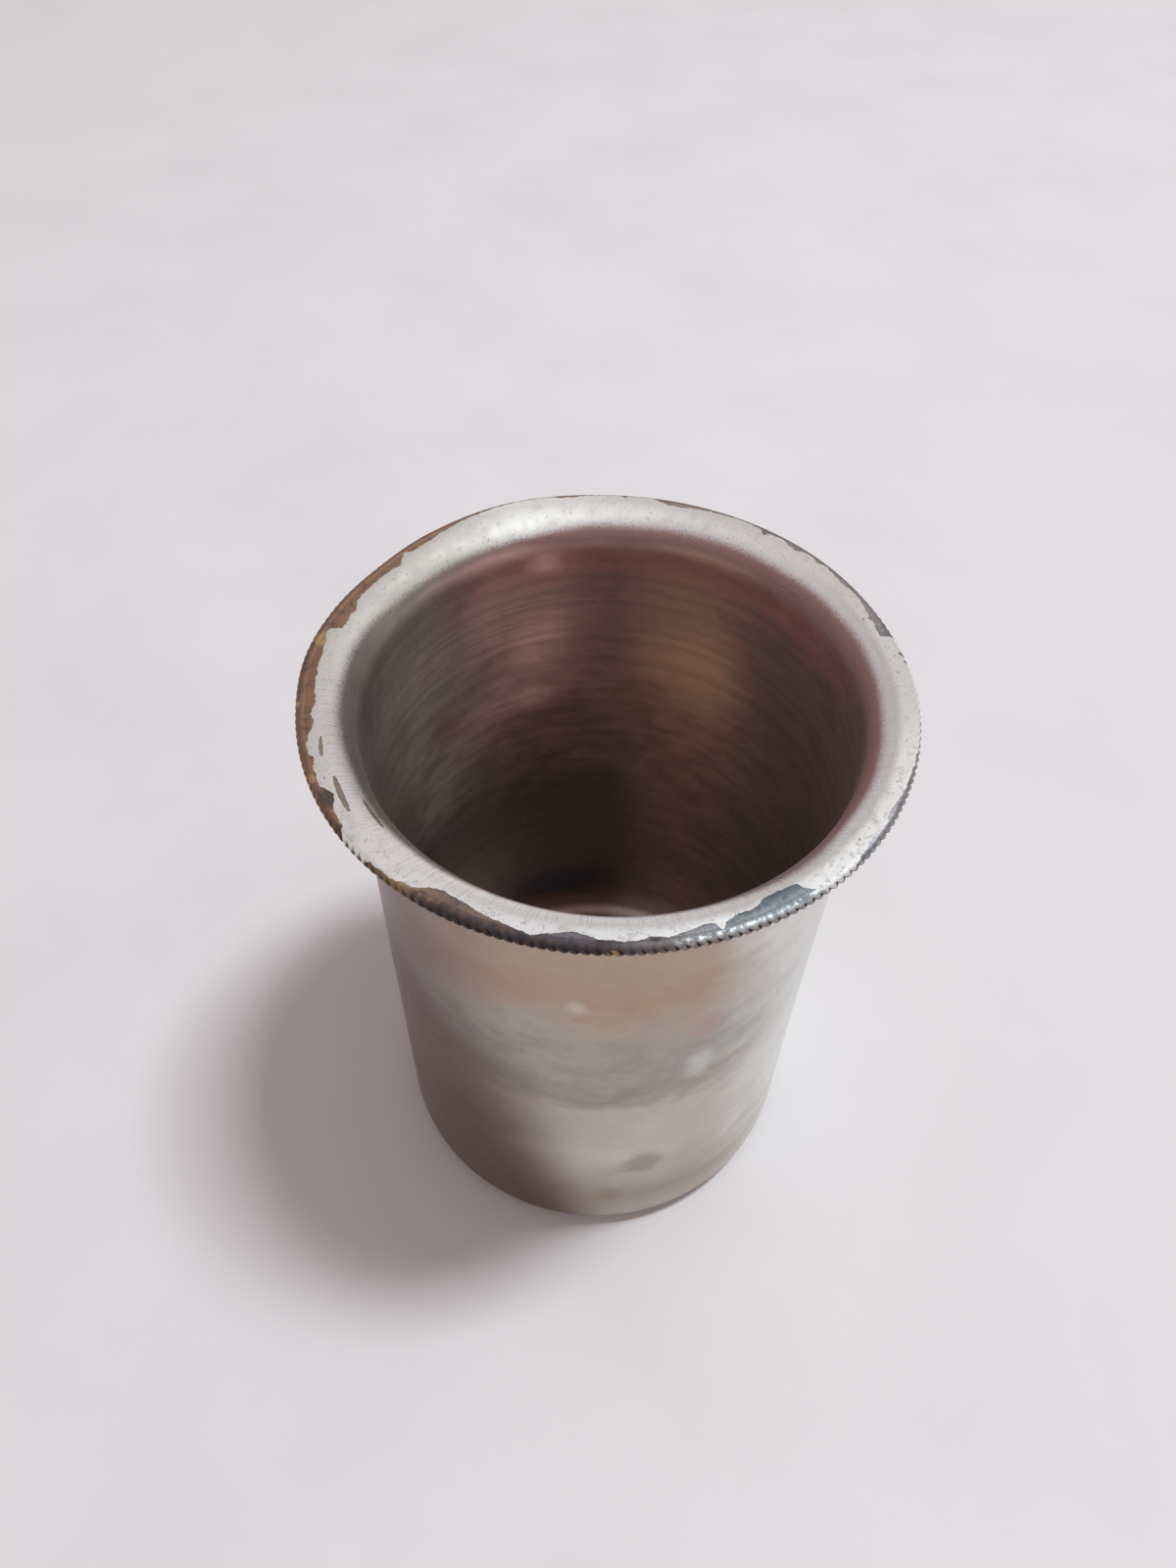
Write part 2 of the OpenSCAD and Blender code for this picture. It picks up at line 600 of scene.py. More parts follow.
@dataclass
class TurnedShells(SubAssembly):
    """The brass cup and the plain plate layers, all turned about one axis."""

    columns: int = 600
    foot_steps: int = 14
    wall_rows: tuple[float, ...] = (0.25, 0.5, 0.75)
    bend_steps: int = 20
    dome_steps: int = 14

    def brass_cup(self) -> bpy.types.Object:
        """Makes the brass sheet.

        Returns:
            Floor, wall, bend and lip, inside and out.
        """
        cup = self.cup
        edge = [(cup.lip_edge_r, cup.lip_top), (cup.lip_edge_r, cup.lip_top - cup.wall)]
        section = cup_face(cup, 0.0) + edge + cup_face(cup, cup.wall)[::-1]
        return turn("brass_cup", section[::-1], self.columns)

    def bore_plate(self) -> bpy.types.Object:
        """Makes the plate in the bore.

        Returns:
            The plate on the floor and up the bore, to just under the bend.
        """
        cup = self.cup
        top = cup.plate_seam_z
        inner, brass = (
            [p for p in cup_face(cup, depth) if p[1] < top] for depth in (-cup.plate_t, 0.0)
        )
        section = inner + [(inner[-1][0], top), (brass[-1][0], top)] + brass[::-1]
        return turn("bore_plate", section[::-1], self.columns)

    def outer_plate(self) -> bpy.types.Object:
        """Makes the plate outside.

        Returns:
            The plate from the wire's ledge to the scuffed bottom edge.
        """
        cup = self.cup
        faces = []
        for depth in cup.outside:
            foot_r = cup.foot_r - cup.wall + depth
            low = math.degrees(math.asin((cup.foot_c[1] - cup.scuff_h) / foot_r))
            faces.append(
                arc(cup.foot_c, foot_r, -low, 0.0, self.foot_steps)
                + [(cup.foot_c[0] + foot_r, cup.height * share) for share in self.wall_rows]
                + arc(cup.bend_c, cup.bend_r - depth, 180.0, 90.0, self.bend_steps)
            )
        return turn("outer_plate_layer", faces[1] + faces[0][::-1], self.columns)

    def base_plate(self) -> bpy.types.Object:
        """Makes the plate under the bottom.

        Returns:
            The plate on the dome, inside the standing ring.
        """
        dome_z, dome_r = self.cup.dome
        faces = []
        for depth in self.cup.outside:
            radius = dome_r - depth
            lean = math.degrees(math.asin(self.cup.base_plate_r / radius))
            faces.append(arc((0.0, dome_z), radius, 90.0, 90.0 - lean, self.dome_steps))
        return turn("base_plate_layer", faces[1] + faces[0][::-1], self.columns // 2)


@dataclass
class MilledRim(SubAssembly):
    """The rope-milled wire: one tooth, set round the lip's edge."""

    flakes: FlakeMap
    teeth: int = 204
    depth: float = 0.21 * MM
    slant_deg: float = 33.0
    low_lean: float = -65.0
    full_lean: float = 14.0
    smooth_lean: float = 54.0
    plated_lean: float = 60.0
    crest_power: float = 0.95
    across: int = 6
    face_steps: int = 6
    plated_t: float = 0.03 * MM
    seat_drop: float = 0.01 * MM
    shoulder_w: float = 0.12 * MM
    shoulder_rise: float = 0.012 * MM
    join: float = 0.002 * MM
    crisp_deg: float = 60.0

    def section(self) -> Section:
        """The wire's section.

        Returns:
            Points from under the lip's edge round the outside and back over the wire's ledge.
        """
        cup = self.cup
        plated = arc(cup.wire_c, cup.wire_radius - self.plated_t, 90.0, self.plated_lean, 1)
        milled = arc(cup.wire_c, cup.wire_radius, self.plated_lean, -90.0, self.face_steps)
        ledge_z = cup.lip_top - cup.wall
        return [
            (cup.lip_edge_r, ledge_z),
            (cup.lip_edge_r, cup.lip_top - self.seat_drop),
            (cup.lip_edge_r + self.shoulder_w, cup.lip_top + self.shoulder_rise),
            *plated[:-1],
            *milled,
            (cup.ledge_r, cup.wire_low),
            (cup.ledge_r, ledge_z),
        ]

    def milled(self, lean: float) -> float:
        """How deep the milling is at a lean of the wire's face in degrees: none on its shoulder."""
        leans = (-90.0, self.low_lean, self.full_lean, self.smooth_lean)
        return float(np.interp(lean, leans, (0.0, 1.0, 1.0, 0.0)))

    def tooth(self) -> bpy.types.Object:
        """Makes one slanted tooth of the wire.

        Returns:
            The tooth, a pitch wide and centred on +X.
        """
        cup = self.cup
        pitch = 2 * math.pi / self.teeth
        shares = np.linspace(0.0, 1.0, self.across + 1)
        crest = np.abs(np.sin(math.pi * shares)) ** self.crest_power
        section = self.section()
        points = []
        for radius, height in section:
            lean = math.atan2(height - cup.wire_c[1], max(radius - cup.wire_c[0], 0.0))
            cut = self.depth * self.milled(math.degrees(lean))
            shift = -(height - cup.wire_c[1]) * math.tan(math.radians(self.slant_deg)) / cup.rim_r
            for share, full in zip(shares, crest):
                angle = (share - 0.5) * pitch + shift
                inset = cut * (1.0 - full)
                r = radius - inset * math.cos(lean)
                z = height - inset * math.sin(lean)
                points.append((r * math.cos(angle), r * math.sin(angle), z))
        wide = self.across + 1
        faces = []
        for i in range(len(section)):
            k = (i + 1) % len(section)
            for j in range(self.across):
                faces.append((i * wide + j, k * wide + j, k * wide + j + 1, i * wide + j + 1))
        return piece_from("rim_tooth", points, faces)

    def tree(self) -> bpy.types.NodeTree:
        """Makes the node tree that sets a tooth round the axis, joins the copies and dresses them.

        Returns:
            The tree, with named inputs.
        """
        tree = bpy.data.node_groups.new("milled_rim", "GeometryNodeTree")
        for name, way, kind in (
            ("Geometry", "INPUT", "Geometry"),
            ("Tooth", "INPUT", "Object"),
            ("Teeth", "INPUT", "Int"),
            ("Join distance", "INPUT", "Float"),
            ("Finish", "INPUT", "Material"),
            ("Geometry", "OUTPUT", "Geometry"),
        ):
            tree.interface.new_socket(name, in_out=way, socket_type=f"NodeSocket{kind}")
        graph = Graph(tree)
        given = graph.node("NodeGroupInput").outputs
        tooth = graph.node("GeometryNodeObjectInfo", {}, {"Object": given["Tooth"]})
        points = graph.node("GeometryNodePoints", {}, {"Count": given["Teeth"]})
        index = Value(graph, graph.node("GeometryNodeInputIndex").outputs["Index"])
        angle = index / Value(graph, given["Teeth"]) * (2 * math.pi)
        about = graph.node("ShaderNodeCombineXYZ", {}, {"Z": angle})
        copies = graph.node(
            "GeometryNodeInstanceOnPoints",
            {},
            {
                "Points": points.outputs[0],
                "Instance": tooth.outputs["Geometry"],
                "Rotation": about.outputs[0],
            },
        )
        real = graph.node("GeometryNodeRealizeInstances", {}, {0: copies.outputs[0]})
        joined = graph.node(
            "GeometryNodeMergeByDistance",
            {},
            {"Geometry": real.outputs[0], "Distance": given["Join distance"]},
        )
        dressed = graph.node(
            "GeometryNodeSetMaterial",
            {},
            {"Geometry": joined.outputs[0], "Material": given["Finish"]},
        )
        graph.node("NodeGroupOutput", {}, {0: dressed.outputs[0]})
        return tree

    def build(self, material: bpy.types.Material) -> bpy.types.Object:
        """Makes the whole rim as one plain mesh.

        Args:
            material: The rim's finish.

        Returns:
            The rim, with its wear kept as an attribute.
        """
        tooth = self.tooth()
        rim = piece_from("milled_rim", [], [])
        tree = self.tree()
        modifier = rim.modifiers.new("teeth", "NODES")
        modifier.node_group = tree
        values = {
            "Tooth": tooth, "Teeth": self.teeth, "Join distance": self.join, "Finish": material,
        }
        for item in tree.interface.items_tree:
            if item.in_out == "INPUT" and item.name in values:
                modifier[item.identifier] = values[item.name]
        bpy.context.view_layer.update()
        depsgraph = bpy.context.evaluated_depsgraph_get()
        mesh = bpy.data.meshes.new_from_object(rim.evaluated_get(depsgraph))
        rim.modifiers.remove(modifier)
        rim.data = mesh
        mesh.name = "milled_rim"
        shade(mesh, self.crisp_deg)
        bpy.data.objects.remove(tooth)
        self.mark_wear(mesh)
        return rim

    def mark_wear(self, mesh: bpy.types.Mesh) -> None:
        """Keeps, at each vertex, how far the plate covers it and how deep it lies in a notch.

        Args:
            mesh: The rim's mesh, before it is knocked out of round.
        """
        places = vertex_places(mesh).astype(float)
        radius = np.hypot(places[:, 0], places[:, 1])
        angle = np.degrees(np.arctan2(places[:, 1], places[:, 0])) % TURN
        center_r, center_z = self.cup.wire_c
        lean = np.arctan2(places[:, 2] - center_z, np.maximum(radius - center_r, NEAR_ZERO))
        path = np.where(
            radius > center_r,
            center_r + self.cup.wire_radius * (math.pi / 2 - lean),
            radius,
        )
        cover = self.flakes.cover(angle, path / MM)
        gap = self.cup.wire_radius - np.hypot(radius - center_r, places[:, 2] - center_z)
        notch = np.where(radius > center_r, np.clip(gap / self.depth, 0.0, 1.0), 0.0)
        for name, values in (("cover", cover), ("notch", notch)):
            kept = mesh.attributes.new(name, "FLOAT", "POINT")
            kept.data.foreach_set("value", values.astype(np.float32))


class Value:
    """A number that varies over a surface or from copy to copy, and takes part in expressions."""

    def __init__(self, graph: "Graph", socket: bpy.types.NodeSocket) -> None:
        """Wraps a node's output socket."""
        self.graph = graph
        self.socket = socket

    def __add__(self, other: "Value | float") -> "Value":
        """Sum."""
        return self.graph.math("ADD", self, other)

    def __radd__(self, other: float) -> "Value":
        """Sum with a number before it."""
        return self.graph.math("ADD", other, self)

    def __sub__(self, other: "Value | float") -> "Value":
        """Difference."""
        return self.graph.math("SUBTRACT", self, other)

    def __rsub__(self, other: float) -> "Value":
        """Difference from a number."""
        return self.graph.math("SUBTRACT", other, self)

    def __mul__(self, other: "Value | float") -> "Value":
        """Product."""
        return self.graph.math("MULTIPLY", self, other)

    def __rmul__(self, other: float) -> "Value":
        """Product with a number before it."""
        return self.graph.math("MULTIPLY", other, self)

    def __truediv__(self, other: "Value | float") -> "Value":
        """Quotient."""
        return self.graph.math("DIVIDE", self, other)

    def swing(self, width: float) -> "Value":
        """Noise from 0 to 1 as a shift to both sides of zero, of a width."""
        return (self - 0.5) * width


class Tint:
    """A colour or vector that varies over a surface."""

    def __init__(self, socket: bpy.types.NodeSocket) -> None:
        """Wraps a node's output socket."""
        self.socket = socket


class Graph:
    """A node tree under construction."""

    def __init__(self, tree: bpy.types.NodeTree) -> None:
        """Starts a tree with no nodes."""
        self.tree = tree
        self.tree.nodes.clear()

    def node(
        self,
        kind: str,
        settings: Mapping[str, object] | None = None,
        inputs: Mapping[str | int, object] | None = None,
    ) -> bpy.types.Node:
        """Adds a node.

        Args:
            kind: The node's type.
            settings: Its properties, set first; "stops" are a colour ramp's places and colours.
            inputs: Values or links of its sockets, by identifier, name or number.

        Returns:
            The node.
        """
        made = self.tree.nodes.new(kind)
        for key, value in (settings or {}).items():
            if key == "stops":
                self.set_stops(made.color_ramp, value)
            else:
                setattr(made, key, value)
        for key, value in (inputs or {}).items():
            named = [s for s in made.inputs if s.identifier == key]
            self.feed(named[0] if named else made.inputs[key], value)
        return made

    def feed(self, socket: bpy.types.NodeSocket, value: object) -> None:
        """Links a varying value to a socket, or sets a constant on it.

        Args:
            socket: The input socket.
            value: A value, a tint or an output socket to link, or a constant.
        """
        if isinstance(value, (Value, Tint)):
            self.tree.links.new(value.socket, socket)
        elif isinstance(value, bpy.types.NodeSocket):
            self.tree.links.new(value, socket)
        elif isinstance(value, tuple) and len(value) == 3 and socket.type == "RGBA":
            socket.default_value = (*value, 1.0)
        else:
            socket.default_value = value

    @staticmethod
    def set_stops(ramp: bpy.types.ColorRamp, stops: Stops) -> None:
        """Gives a colour ramp its places and colours.

        Args:
            ramp: The ramp.
            stops: Its places and colours, in order.
        """
        while len(ramp.elements) < len(stops):
            ramp.elements.new(1.0)
        for element, (place, color) in zip(ramp.elements, stops):
            element.position = place
            element.color = (*color, 1.0)

    def math(self, operation: str, *operands: "Value | bpy.types.NodeSocket | float") -> Value:
        """Adds a Math node for an operation on values and numbers."""
        made = self.node("ShaderNodeMath", {"operation": operation}, dict(enumerate(operands)))
        return Value(self, made.outputs[0])


class Shader(Graph):
    """A material under construction, with places on the tumbler as its values, in millimetres."""

    def __init__(self, name: str) -> None:
        """Starts a material with a Principled shader.

        Args:
            name: Name of the material.
        """
        self.material = bpy.data.materials.new(name)
        self.material.use_nodes = True
        super().__init__(self.material.node_tree)
        self.surface = self.node("ShaderNodeBsdfPrincipled")
        self.node("ShaderNodeOutputMaterial", {}, {"Surface": self.surface.outputs["BSDF"]})
        coordinates = self.node("ShaderNodeTexCoord").outputs["Object"]
        scaled = self.node(
            "ShaderNodeVectorMath", {"operation": "SCALE"}, {0: coordinates, "Scale": 1 / MM}
        )
        self.place = Tint(scaled.outputs[0])
        parts = self.node("ShaderNodeSeparateXYZ", {}, {0: self.place}).outputs
        self.x, self.y, self.z = (Value(self, part) for part in parts)
        turned = self.math("ARCTAN2", self.y, self.x) * (HALF_TURN / math.pi)
        self.angle = self.math("WRAP", turned, TURN, 0.0)
        self.radius = self.math("SQRT", self.x * self.x + self.y * self.y)

    def noise(
        self, scale: float | tuple[float, float, float], detail: float = 3.0, rough: float = 0.5
    ) -> Value:
        """Noise over the piece, from 0 to 1.

        Args:
            scale: Waves to the millimetre, one number or one for each axis.
            detail: How many finer layers it has.
            rough: How strong those are.

        Returns:
            The noise's value.
        """
        stretch = scale if isinstance(scale, tuple) else (scale, scale, scale)
        place = self.node(
            "ShaderNodeVectorMath", {"operation": "MULTIPLY"}, {0: self.place, 1: stretch}
        )
        made = self.node(
            "ShaderNodeTexNoise",
            {},
            {"Vector": place.outputs[0], "Scale": 1.0, "Detail": detail, "Roughness": rough},
        )
        return Value(self, made.outputs["Fac"])

    def line_noise(self, along: Value, detail: float = 2.0) -> Value:
        """Noise that varies with one value only, from 0 to 1."""
        made = self.node(
            "ShaderNodeTexNoise",
            {"noise_dimensions": "1D"},
            {"W": along, "Scale": 1.0, "Detail": detail},
        )
        return Value(self, made.outputs["Fac"])

    def rise(self, value: Value, low: float, high: float) -> Value:
        """Goes smoothly from 0 at one number to 1 at another, which may be the smaller."""
        made = self.node(
            "ShaderNodeMapRange",
            {"interpolation_type": "SMOOTHSTEP"},
            {"Value": value, "From Min": low, "From Max": high, "To Min": 0.0, "To Max": 1.0},
        )
        return Value(self, made.outputs["Result"])

    def sector(self, middle: float, start: float, full: float, shift: Value | None = None) -> Value:
        """A stretch round the axis with soft ends.

        Args:
            middle: Its middle, in degrees.
            start: How far from the middle it starts, in degrees.
            full: How far from the middle it is full, in degrees.
            shift: Noise in degrees that makes its ends uneven.

        Returns:
            1 round its middle, 0 outside.
        """
        angle = self.angle if shift is None else self.angle + shift
        return self.rise(self.math("ABSOLUTE", angle - middle), start, full)

    def spot(self, angle: float, height: float, wide: float, tall: float, soft: Value) -> Value:
        """A soft-edged blotch on the wall.

        Args:
            angle: Its place round the wall, in degrees.
            height: Its height in millimetres.
            wide: Half its width in degrees.
            tall: Half its height in millimetres.
            soft: Noise that makes its edge uneven.

        Returns:
            1 at its middle, 0 outside.
        """
        off = (self.angle - angle) / wide
        up = (self.z - height) / tall
        reach = self.math("SQRT", off * off + up * up) + soft.swing(1.2)
        return self.rise(reach, 1.0, 0.25)

    def rim_spot(
        self, angle: float, radius: float, length: float, width: float, soft: Value
    ) -> Value:
        """A soft-edged blotch on the lip.

        Args:
            angle: Its place round the lip, in degrees.
            radius: Its distance from the axis in millimetres.
            length: Half its length round the lip in millimetres.
            width: Half its width across the lip in millimetres.
            soft: Noise that makes its edge uneven.

        Returns:
            1 at its middle, 0 outside.
        """
        off = (self.angle - angle) * (math.pi / HALF_TURN * radius / length)
        out = (self.radius - radius) / width
        reach = self.math("SQRT", off * off + out * out) + soft.swing(1.2)
        return self.rise(reach, 1.1, 0.5)

    def mix(self, low: Tint | Color, high: Tint | Color, factor: Value | float) -> Tint:
        """Mixes two colours."""
        made = self.node(
            "ShaderNodeMix",
            {"data_type": "RGBA"},
            {"Factor_Float": factor, "A_Color": low, "B_Color": high},
        )
        return Tint([s for s in made.outputs if s.type == "RGBA"][0])

    def layers(self, color: Tint | Color, *coats: tuple[Tint | Color, Value]) -> Tint | Color:
        """Lays coats over a colour, one after the other.

        Args:
            color: The colour at the bottom.
            coats: Each coat's colour, and how far it covers what lies under it.

        Returns:
            The colour that shows.
        """
        for coat, share in coats:
            color = self.mix(color, coat, share)
        return color

    def ramp(self, value: Value, stops: Stops) -> Tint:
        """Colours along a value from 0 to 1."""
        made = self.node("ShaderNodeValToRGB", {"stops": stops}, {"Fac": value})
        return Tint(made.outputs["Color"])

    def attribute(self, name: str) -> Value:
        """A number kept on the piece's vertices."""
        made = self.node("ShaderNodeAttribute", {"attribute_name": name})
        return Value(self, made.outputs["Fac"])

    def bump(self, height: Value, distance: float) -> None:
        """Raises the surface's shading by a height from 0 to 1 times a distance in millimetres."""
        made = self.node(
            "ShaderNodeBump", {}, {"Height": height, "Distance": distance * MM, "Strength": 1.0}
        )
        self.feed(self.surface.inputs["Normal"], Tint(made.outputs["Normal"]))

    def finish(self, **sockets: object) -> bpy.types.Material:
        """Sets the shader's sockets.

        Args:
            sockets: Values of the sockets, with underscores for the spaces in their names.

        Returns:
            The material.
        """
        for name, value in sockets.items():
            self.feed(self.surface.inputs[name.replace("_", " ")], value)
        return self.material


@dataclass(frozen=True)
class PlateZones:
    """Noises and zones of the bright plate, each from 0 to 1, and the uneven height of its step."""

    cloud: Value
    mottle: Value
    grain: Value
    broken: Value
    blotch: Value
    rings: Value
    right: Value
    front: Value
    left: Value
    deep: Value
    pink_reflection_share: Value
    amber: Value
    step_z: Value
    marks: Value
    near: Value


@dataclass(frozen=True)
class BrightPlate:
    """Satin plate: white on the lip, tarnished and ringed down the bore; light and shade partly
    painted.
    """

    # The lip's colour changes round the axis to paint its highlights and its shade.
    lip: Stops = (
        (0.0, (0.58, 0.55, 0.535)),
        (0.07, (0.57, 0.53, 0.515)),
        (0.18, (0.57, 0.535, 0.52)),
        (0.25, (0.625, 0.60, 0.585)),
        (0.305, (0.72, 0.705, 0.695)),
        (0.36, (0.57, 0.54, 0.515)),
        (0.415, (0.53, 0.50, 0.475)),
        (0.486, (0.55, 0.52, 0.50)),
        (0.55, (0.56, 0.515, 0.50)),
        (0.625, (0.645, 0.605, 0.60)),
        (0.73, (0.655, 0.64, 0.64)),
        (0.77, (0.70, 0.69, 0.695)),
        (0.88, (0.70, 0.685, 0.68)),
        (0.94, (0.65, 0.62, 0.61)),
        (1.0, (0.58, 0.55, 0.535)),
    )
    lip_dull: Color = (0.52, 0.495, 0.485)
    bend_painted_highlight: Color = (0.92, 0.90, 0.90)
    verdigris: Color = (0.36, 0.46, 0.40)
    # The bend's colours: tarnish darkened with painted shade, most of all on the left, where the
    # steep bend mirrors the dark bore.
    bend: Color = (0.37, 0.228, 0.213)
    bend_left: Color = (0.185, 0.158, 0.15)
    bend_front: Color = (0.31, 0.25, 0.24)
    # Colours round the bore: tarnish, with painted reflections in the orange stretch between about
    # 50 and 85 degrees and the pink one between about 100 and 130 degrees.
    around: Stops = (
        (0.0, (0.42, 0.33, 0.33)),
        (0.09, (0.46, 0.34, 0.33)),
        (0.135, (0.56, 0.41, 0.365)),
        (0.165, (0.92, 0.60, 0.47)),
        (0.20, (0.92, 0.60, 0.47)),
        (0.235, (0.72, 0.49, 0.42)),
        (0.26, (0.68, 0.46, 0.41)),
        (0.285, (0.86, 0.55, 0.49)),
        (0.34, (0.90, 0.58, 0.51)),
        (0.365, (0.76, 0.55, 0.485)),
        (0.41, (0.70, 0.60, 0.555)),
        (0.49, (0.32, 0.30, 0.285)),
        (0.62, (0.42, 0.37, 0.34)),
        (0.80, (0.46, 0.38, 0.355)),
        (1.0, (0.42, 0.33, 0.33)),
    )
    dark: Color = (0.13, 0.105, 0.098)
    blue: Color = (0.08, 0.09, 0.12)
    blush: Color = (0.80, 0.385, 0.35)
    floor: Color = (0.34, 0.27, 0.245)
    rust: Color = (0.42, 0.20, 0.115)
    olive: Color = (0.36, 0.285, 0.16)
    pink_reflection: Color = (1.0, 0.63, 0.56)
    amber: Color = (1.0, 0.63, 0.44)
    brown: Color = (0.52, 0.33, 0.24)
    corner: Color = (0.52, 0.35, 0.29)
    corner_painted_light: Color = (0.95, 0.80, 0.77)
    # Painted reflection: soft pink marks where a pink column runs down the back of the bore.
    pink_reflection_marks: tuple[Mark, ...] = (
        (108.5, 50.4, 12.0, 5.8),
        (111.0, 42.6, 9.0, 2.6),
        (107.0, 60.8, 7.0, 1.8),
    )
    # Painted reflection: an orange column down the bore, at the back on the right.
    amber_mark: Mark = (63.0, 47.6, 21.0, 8.0)
    brown_mark: Mark = (142.0, 44.0, 11.0, 4.0)
    verdigris_mark: Mark = (211.5, 22.9, 0.5, 0.35)
    back_left: Sector = (132.0, 40.0, 12.0)
    step_at: Sector = (90.0, 50.0, 28.0)
    crescent_at: Sector = (104.0, 24.0, 10.0)
    column_at: Sector = (114.0, 22.0, 8.0)
    ring_pitch: float = 2.8
    mark_pitch: float = 0.3125
    relief_depth: float = 0.06

    def zones(self, s: Shader) -> PlateZones:
        """Sets out the noises and zones that the lip and the bore share.

        Args:
            s: The plate's shader.

        Returns:
            The noises and zones.
        """
        cloud = s.noise(0.09, 4.0)
        mottle = s.noise(0.7, 4.0)
        broken = s.noise((0.25, 0.25, 0.6), 4.0, 0.6)
        right = s.rise(s.x, 2.0, 24.0)
        front = s.rise(s.y, -13.0, -20.0)
        left = s.rise(s.x + cloud.swing(10.0), -5.0, -17.0)
        # The bore's colour starts higher on the left, on the right and most in front on the right,
        # which paints the shade on the steep bend there.
        steep = s.z - right * (0.25 + front * 1.3) - left * 1.2
        deep = s.rise(steep + cloud.swing(1.5), 63.2, 61.6)
        pink_reflection_share, *more = (s.spot(*mark, broken) for mark in self.pink_reflection_marks)
        for spot in more:
            pink_reflection_share = pink_reflection_share + spot
        near = s.rise(s.radius + mottle.swing(1.5), 24.6, 23.2)
        return PlateZones(
            cloud=cloud,
            mottle=mottle,
            grain=s.noise(5.0, 3.0),
            broken=broken,
            blotch=s.noise((0.16, 0.16, 0.12), 3.0, 0.6),
            rings=s.line_noise(s.z * (2.0 / self.ring_pitch), 1.0),
            right=right,
            front=front,
            left=left,
            deep=deep,
            pink_reflection_share=pink_reflection_share,
            amber=s.spot(*self.amber_mark, broken),
            step_z=s.z + cloud.swing(6.0) + broken.swing(5.0),
            marks=s.line_noise(s.angle * (1.0 / self.mark_pitch), 3.0),
            near=near * (1.0 - deep) * s.rise(s.y, 8.0, -6.0),
        )

    def bore_tint(self, s: Shader, at: PlateZones) -> Tint:
        """Colour of the plate down the bore.

        Args:
            s: The plate's shader.
            at: The plate's noises and zones.

        Returns:
            The colour, with the floor's.
        """
        broken, blotch = at.broken, at.blotch
        around = s.angle / TURN + blotch.swing(0.09) + broken.swing(0.035)
        blush = s.rise(s.z + broken.swing(4.0), 57.0, 60.5) * s.rise(s.z, 63.2, 61.4)
        blush = blush * s.rise(s.y + s.x * 0.3, 8.0, 18.0)
        patch = s.rise(s.noise((0.13, 0.13, 0.22), 3.0, 0.55), 0.50, 0.64)
        patch = patch * s.rise(s.z + blotch.swing(20.0), 56.0, 44.0)
        step = s.rise(at.step_z, 43.0, 39.5) * s.sector(*self.step_at)
        # Painted shade: darker deeper down the bore, less so on the right.
        low = s.rise(s.z + at.cloud.swing(18.0) + broken.swing(10.0), 43.0, 24.0)
        # Painted shadow: a dark blue crescent low in the bore at the back, in the floor's corner.
        crescent = s.sector(*self.crescent_at) * s.rise(s.z + broken.swing(3.0), 10.5, 7.5)
        # Painted light: the floor's corner turns pale towards the back on the right.
        lit = s.rise(s.x + broken.swing(6.0), 0.0, 7.0)
        lit = lit * s.rise(s.y + blotch.swing(8.0), 4.0, 15.0)
        corner = s.mix(self.corner, self.corner_painted_light, lit)
        rusty = s.mix(self.floor, self.rust, s.rise(blotch, 0.40, 0.66) * 0.6)
        return s.layers(
            s.ramp(around, self.around),
            (self.blush, blush * 0.75),
            # Painted reflections: the pink column, then the orange one.
            (self.pink_reflection, at.pink_reflection_share),
            (self.amber, at.amber * 0.85),
            (self.brown, s.spot(*self.brown_mark, broken) * 0.7),
            (self.dark, at.left * s.rise(s.z + broken.swing(6.0), 55.5, 60.5) * 0.3),
            (self.dark, s.rise(blotch, 0.50, 0.70) * 0.16),
            (self.dark, s.rise(at.rings + broken.swing(1.4), 0.6, 0.3) * 0.18),
            (self.olive, patch * (1.0 - at.amber) * 0.45),
            (self.dark, step * 0.26),
            (self.dark, low * (0.86 - s.rise(s.x, 0.0, 11.0) * 0.44)),
            (self.blue, crescent * 0.9),
            (corner, s.rise(s.z + broken.swing(3.0), 5.4, 1.4) * 0.8),
            (rusty, s.rise(s.radius + at.cloud.swing(5.0), 18.0, 14.0)),
        )

    def lip_tint(self, s: Shader, at: PlateZones) -> Tint:
        """Colour of the plate on the lip.

        Args:
            s: The plate's shader.
            at: The plate's noises and zones.

        Returns:
            The colour.
        """
        # Painted highlight: the lip's white is lightened down the bend in front and, less, on the
        # right.
        bend_highlight_share = at.front * (1.0 - at.right) + at.right * (1.0 - at.front) * 0.32
        scratched = s.rise(at.marks + at.grain.swing(0.5), 0.52, 0.75) * at.near
        return s.layers(
            s.ramp(s.angle / TURN + at.cloud.swing(0.06), self.lip),
            (self.lip_dull, s.rise(at.mottle, 0.48, 0.80) * 0.6),
            (self.bend_painted_highlight, bend_highlight_share * s.rise(s.radius, 24.1, 22.7)),
            (self.bend_front, scratched * 0.38),
            (self.verdigris, s.rim_spot(*self.verdigris_mark, at.mottle) * 0.45),
        )

    def material(self) -> bpy.types.Material:
        """Makes the finish.

        Returns:
            The material.
        """
        s = Shader("bright_plate")
        at = self.zones(s)
        on_lip = 1.0 - at.deep
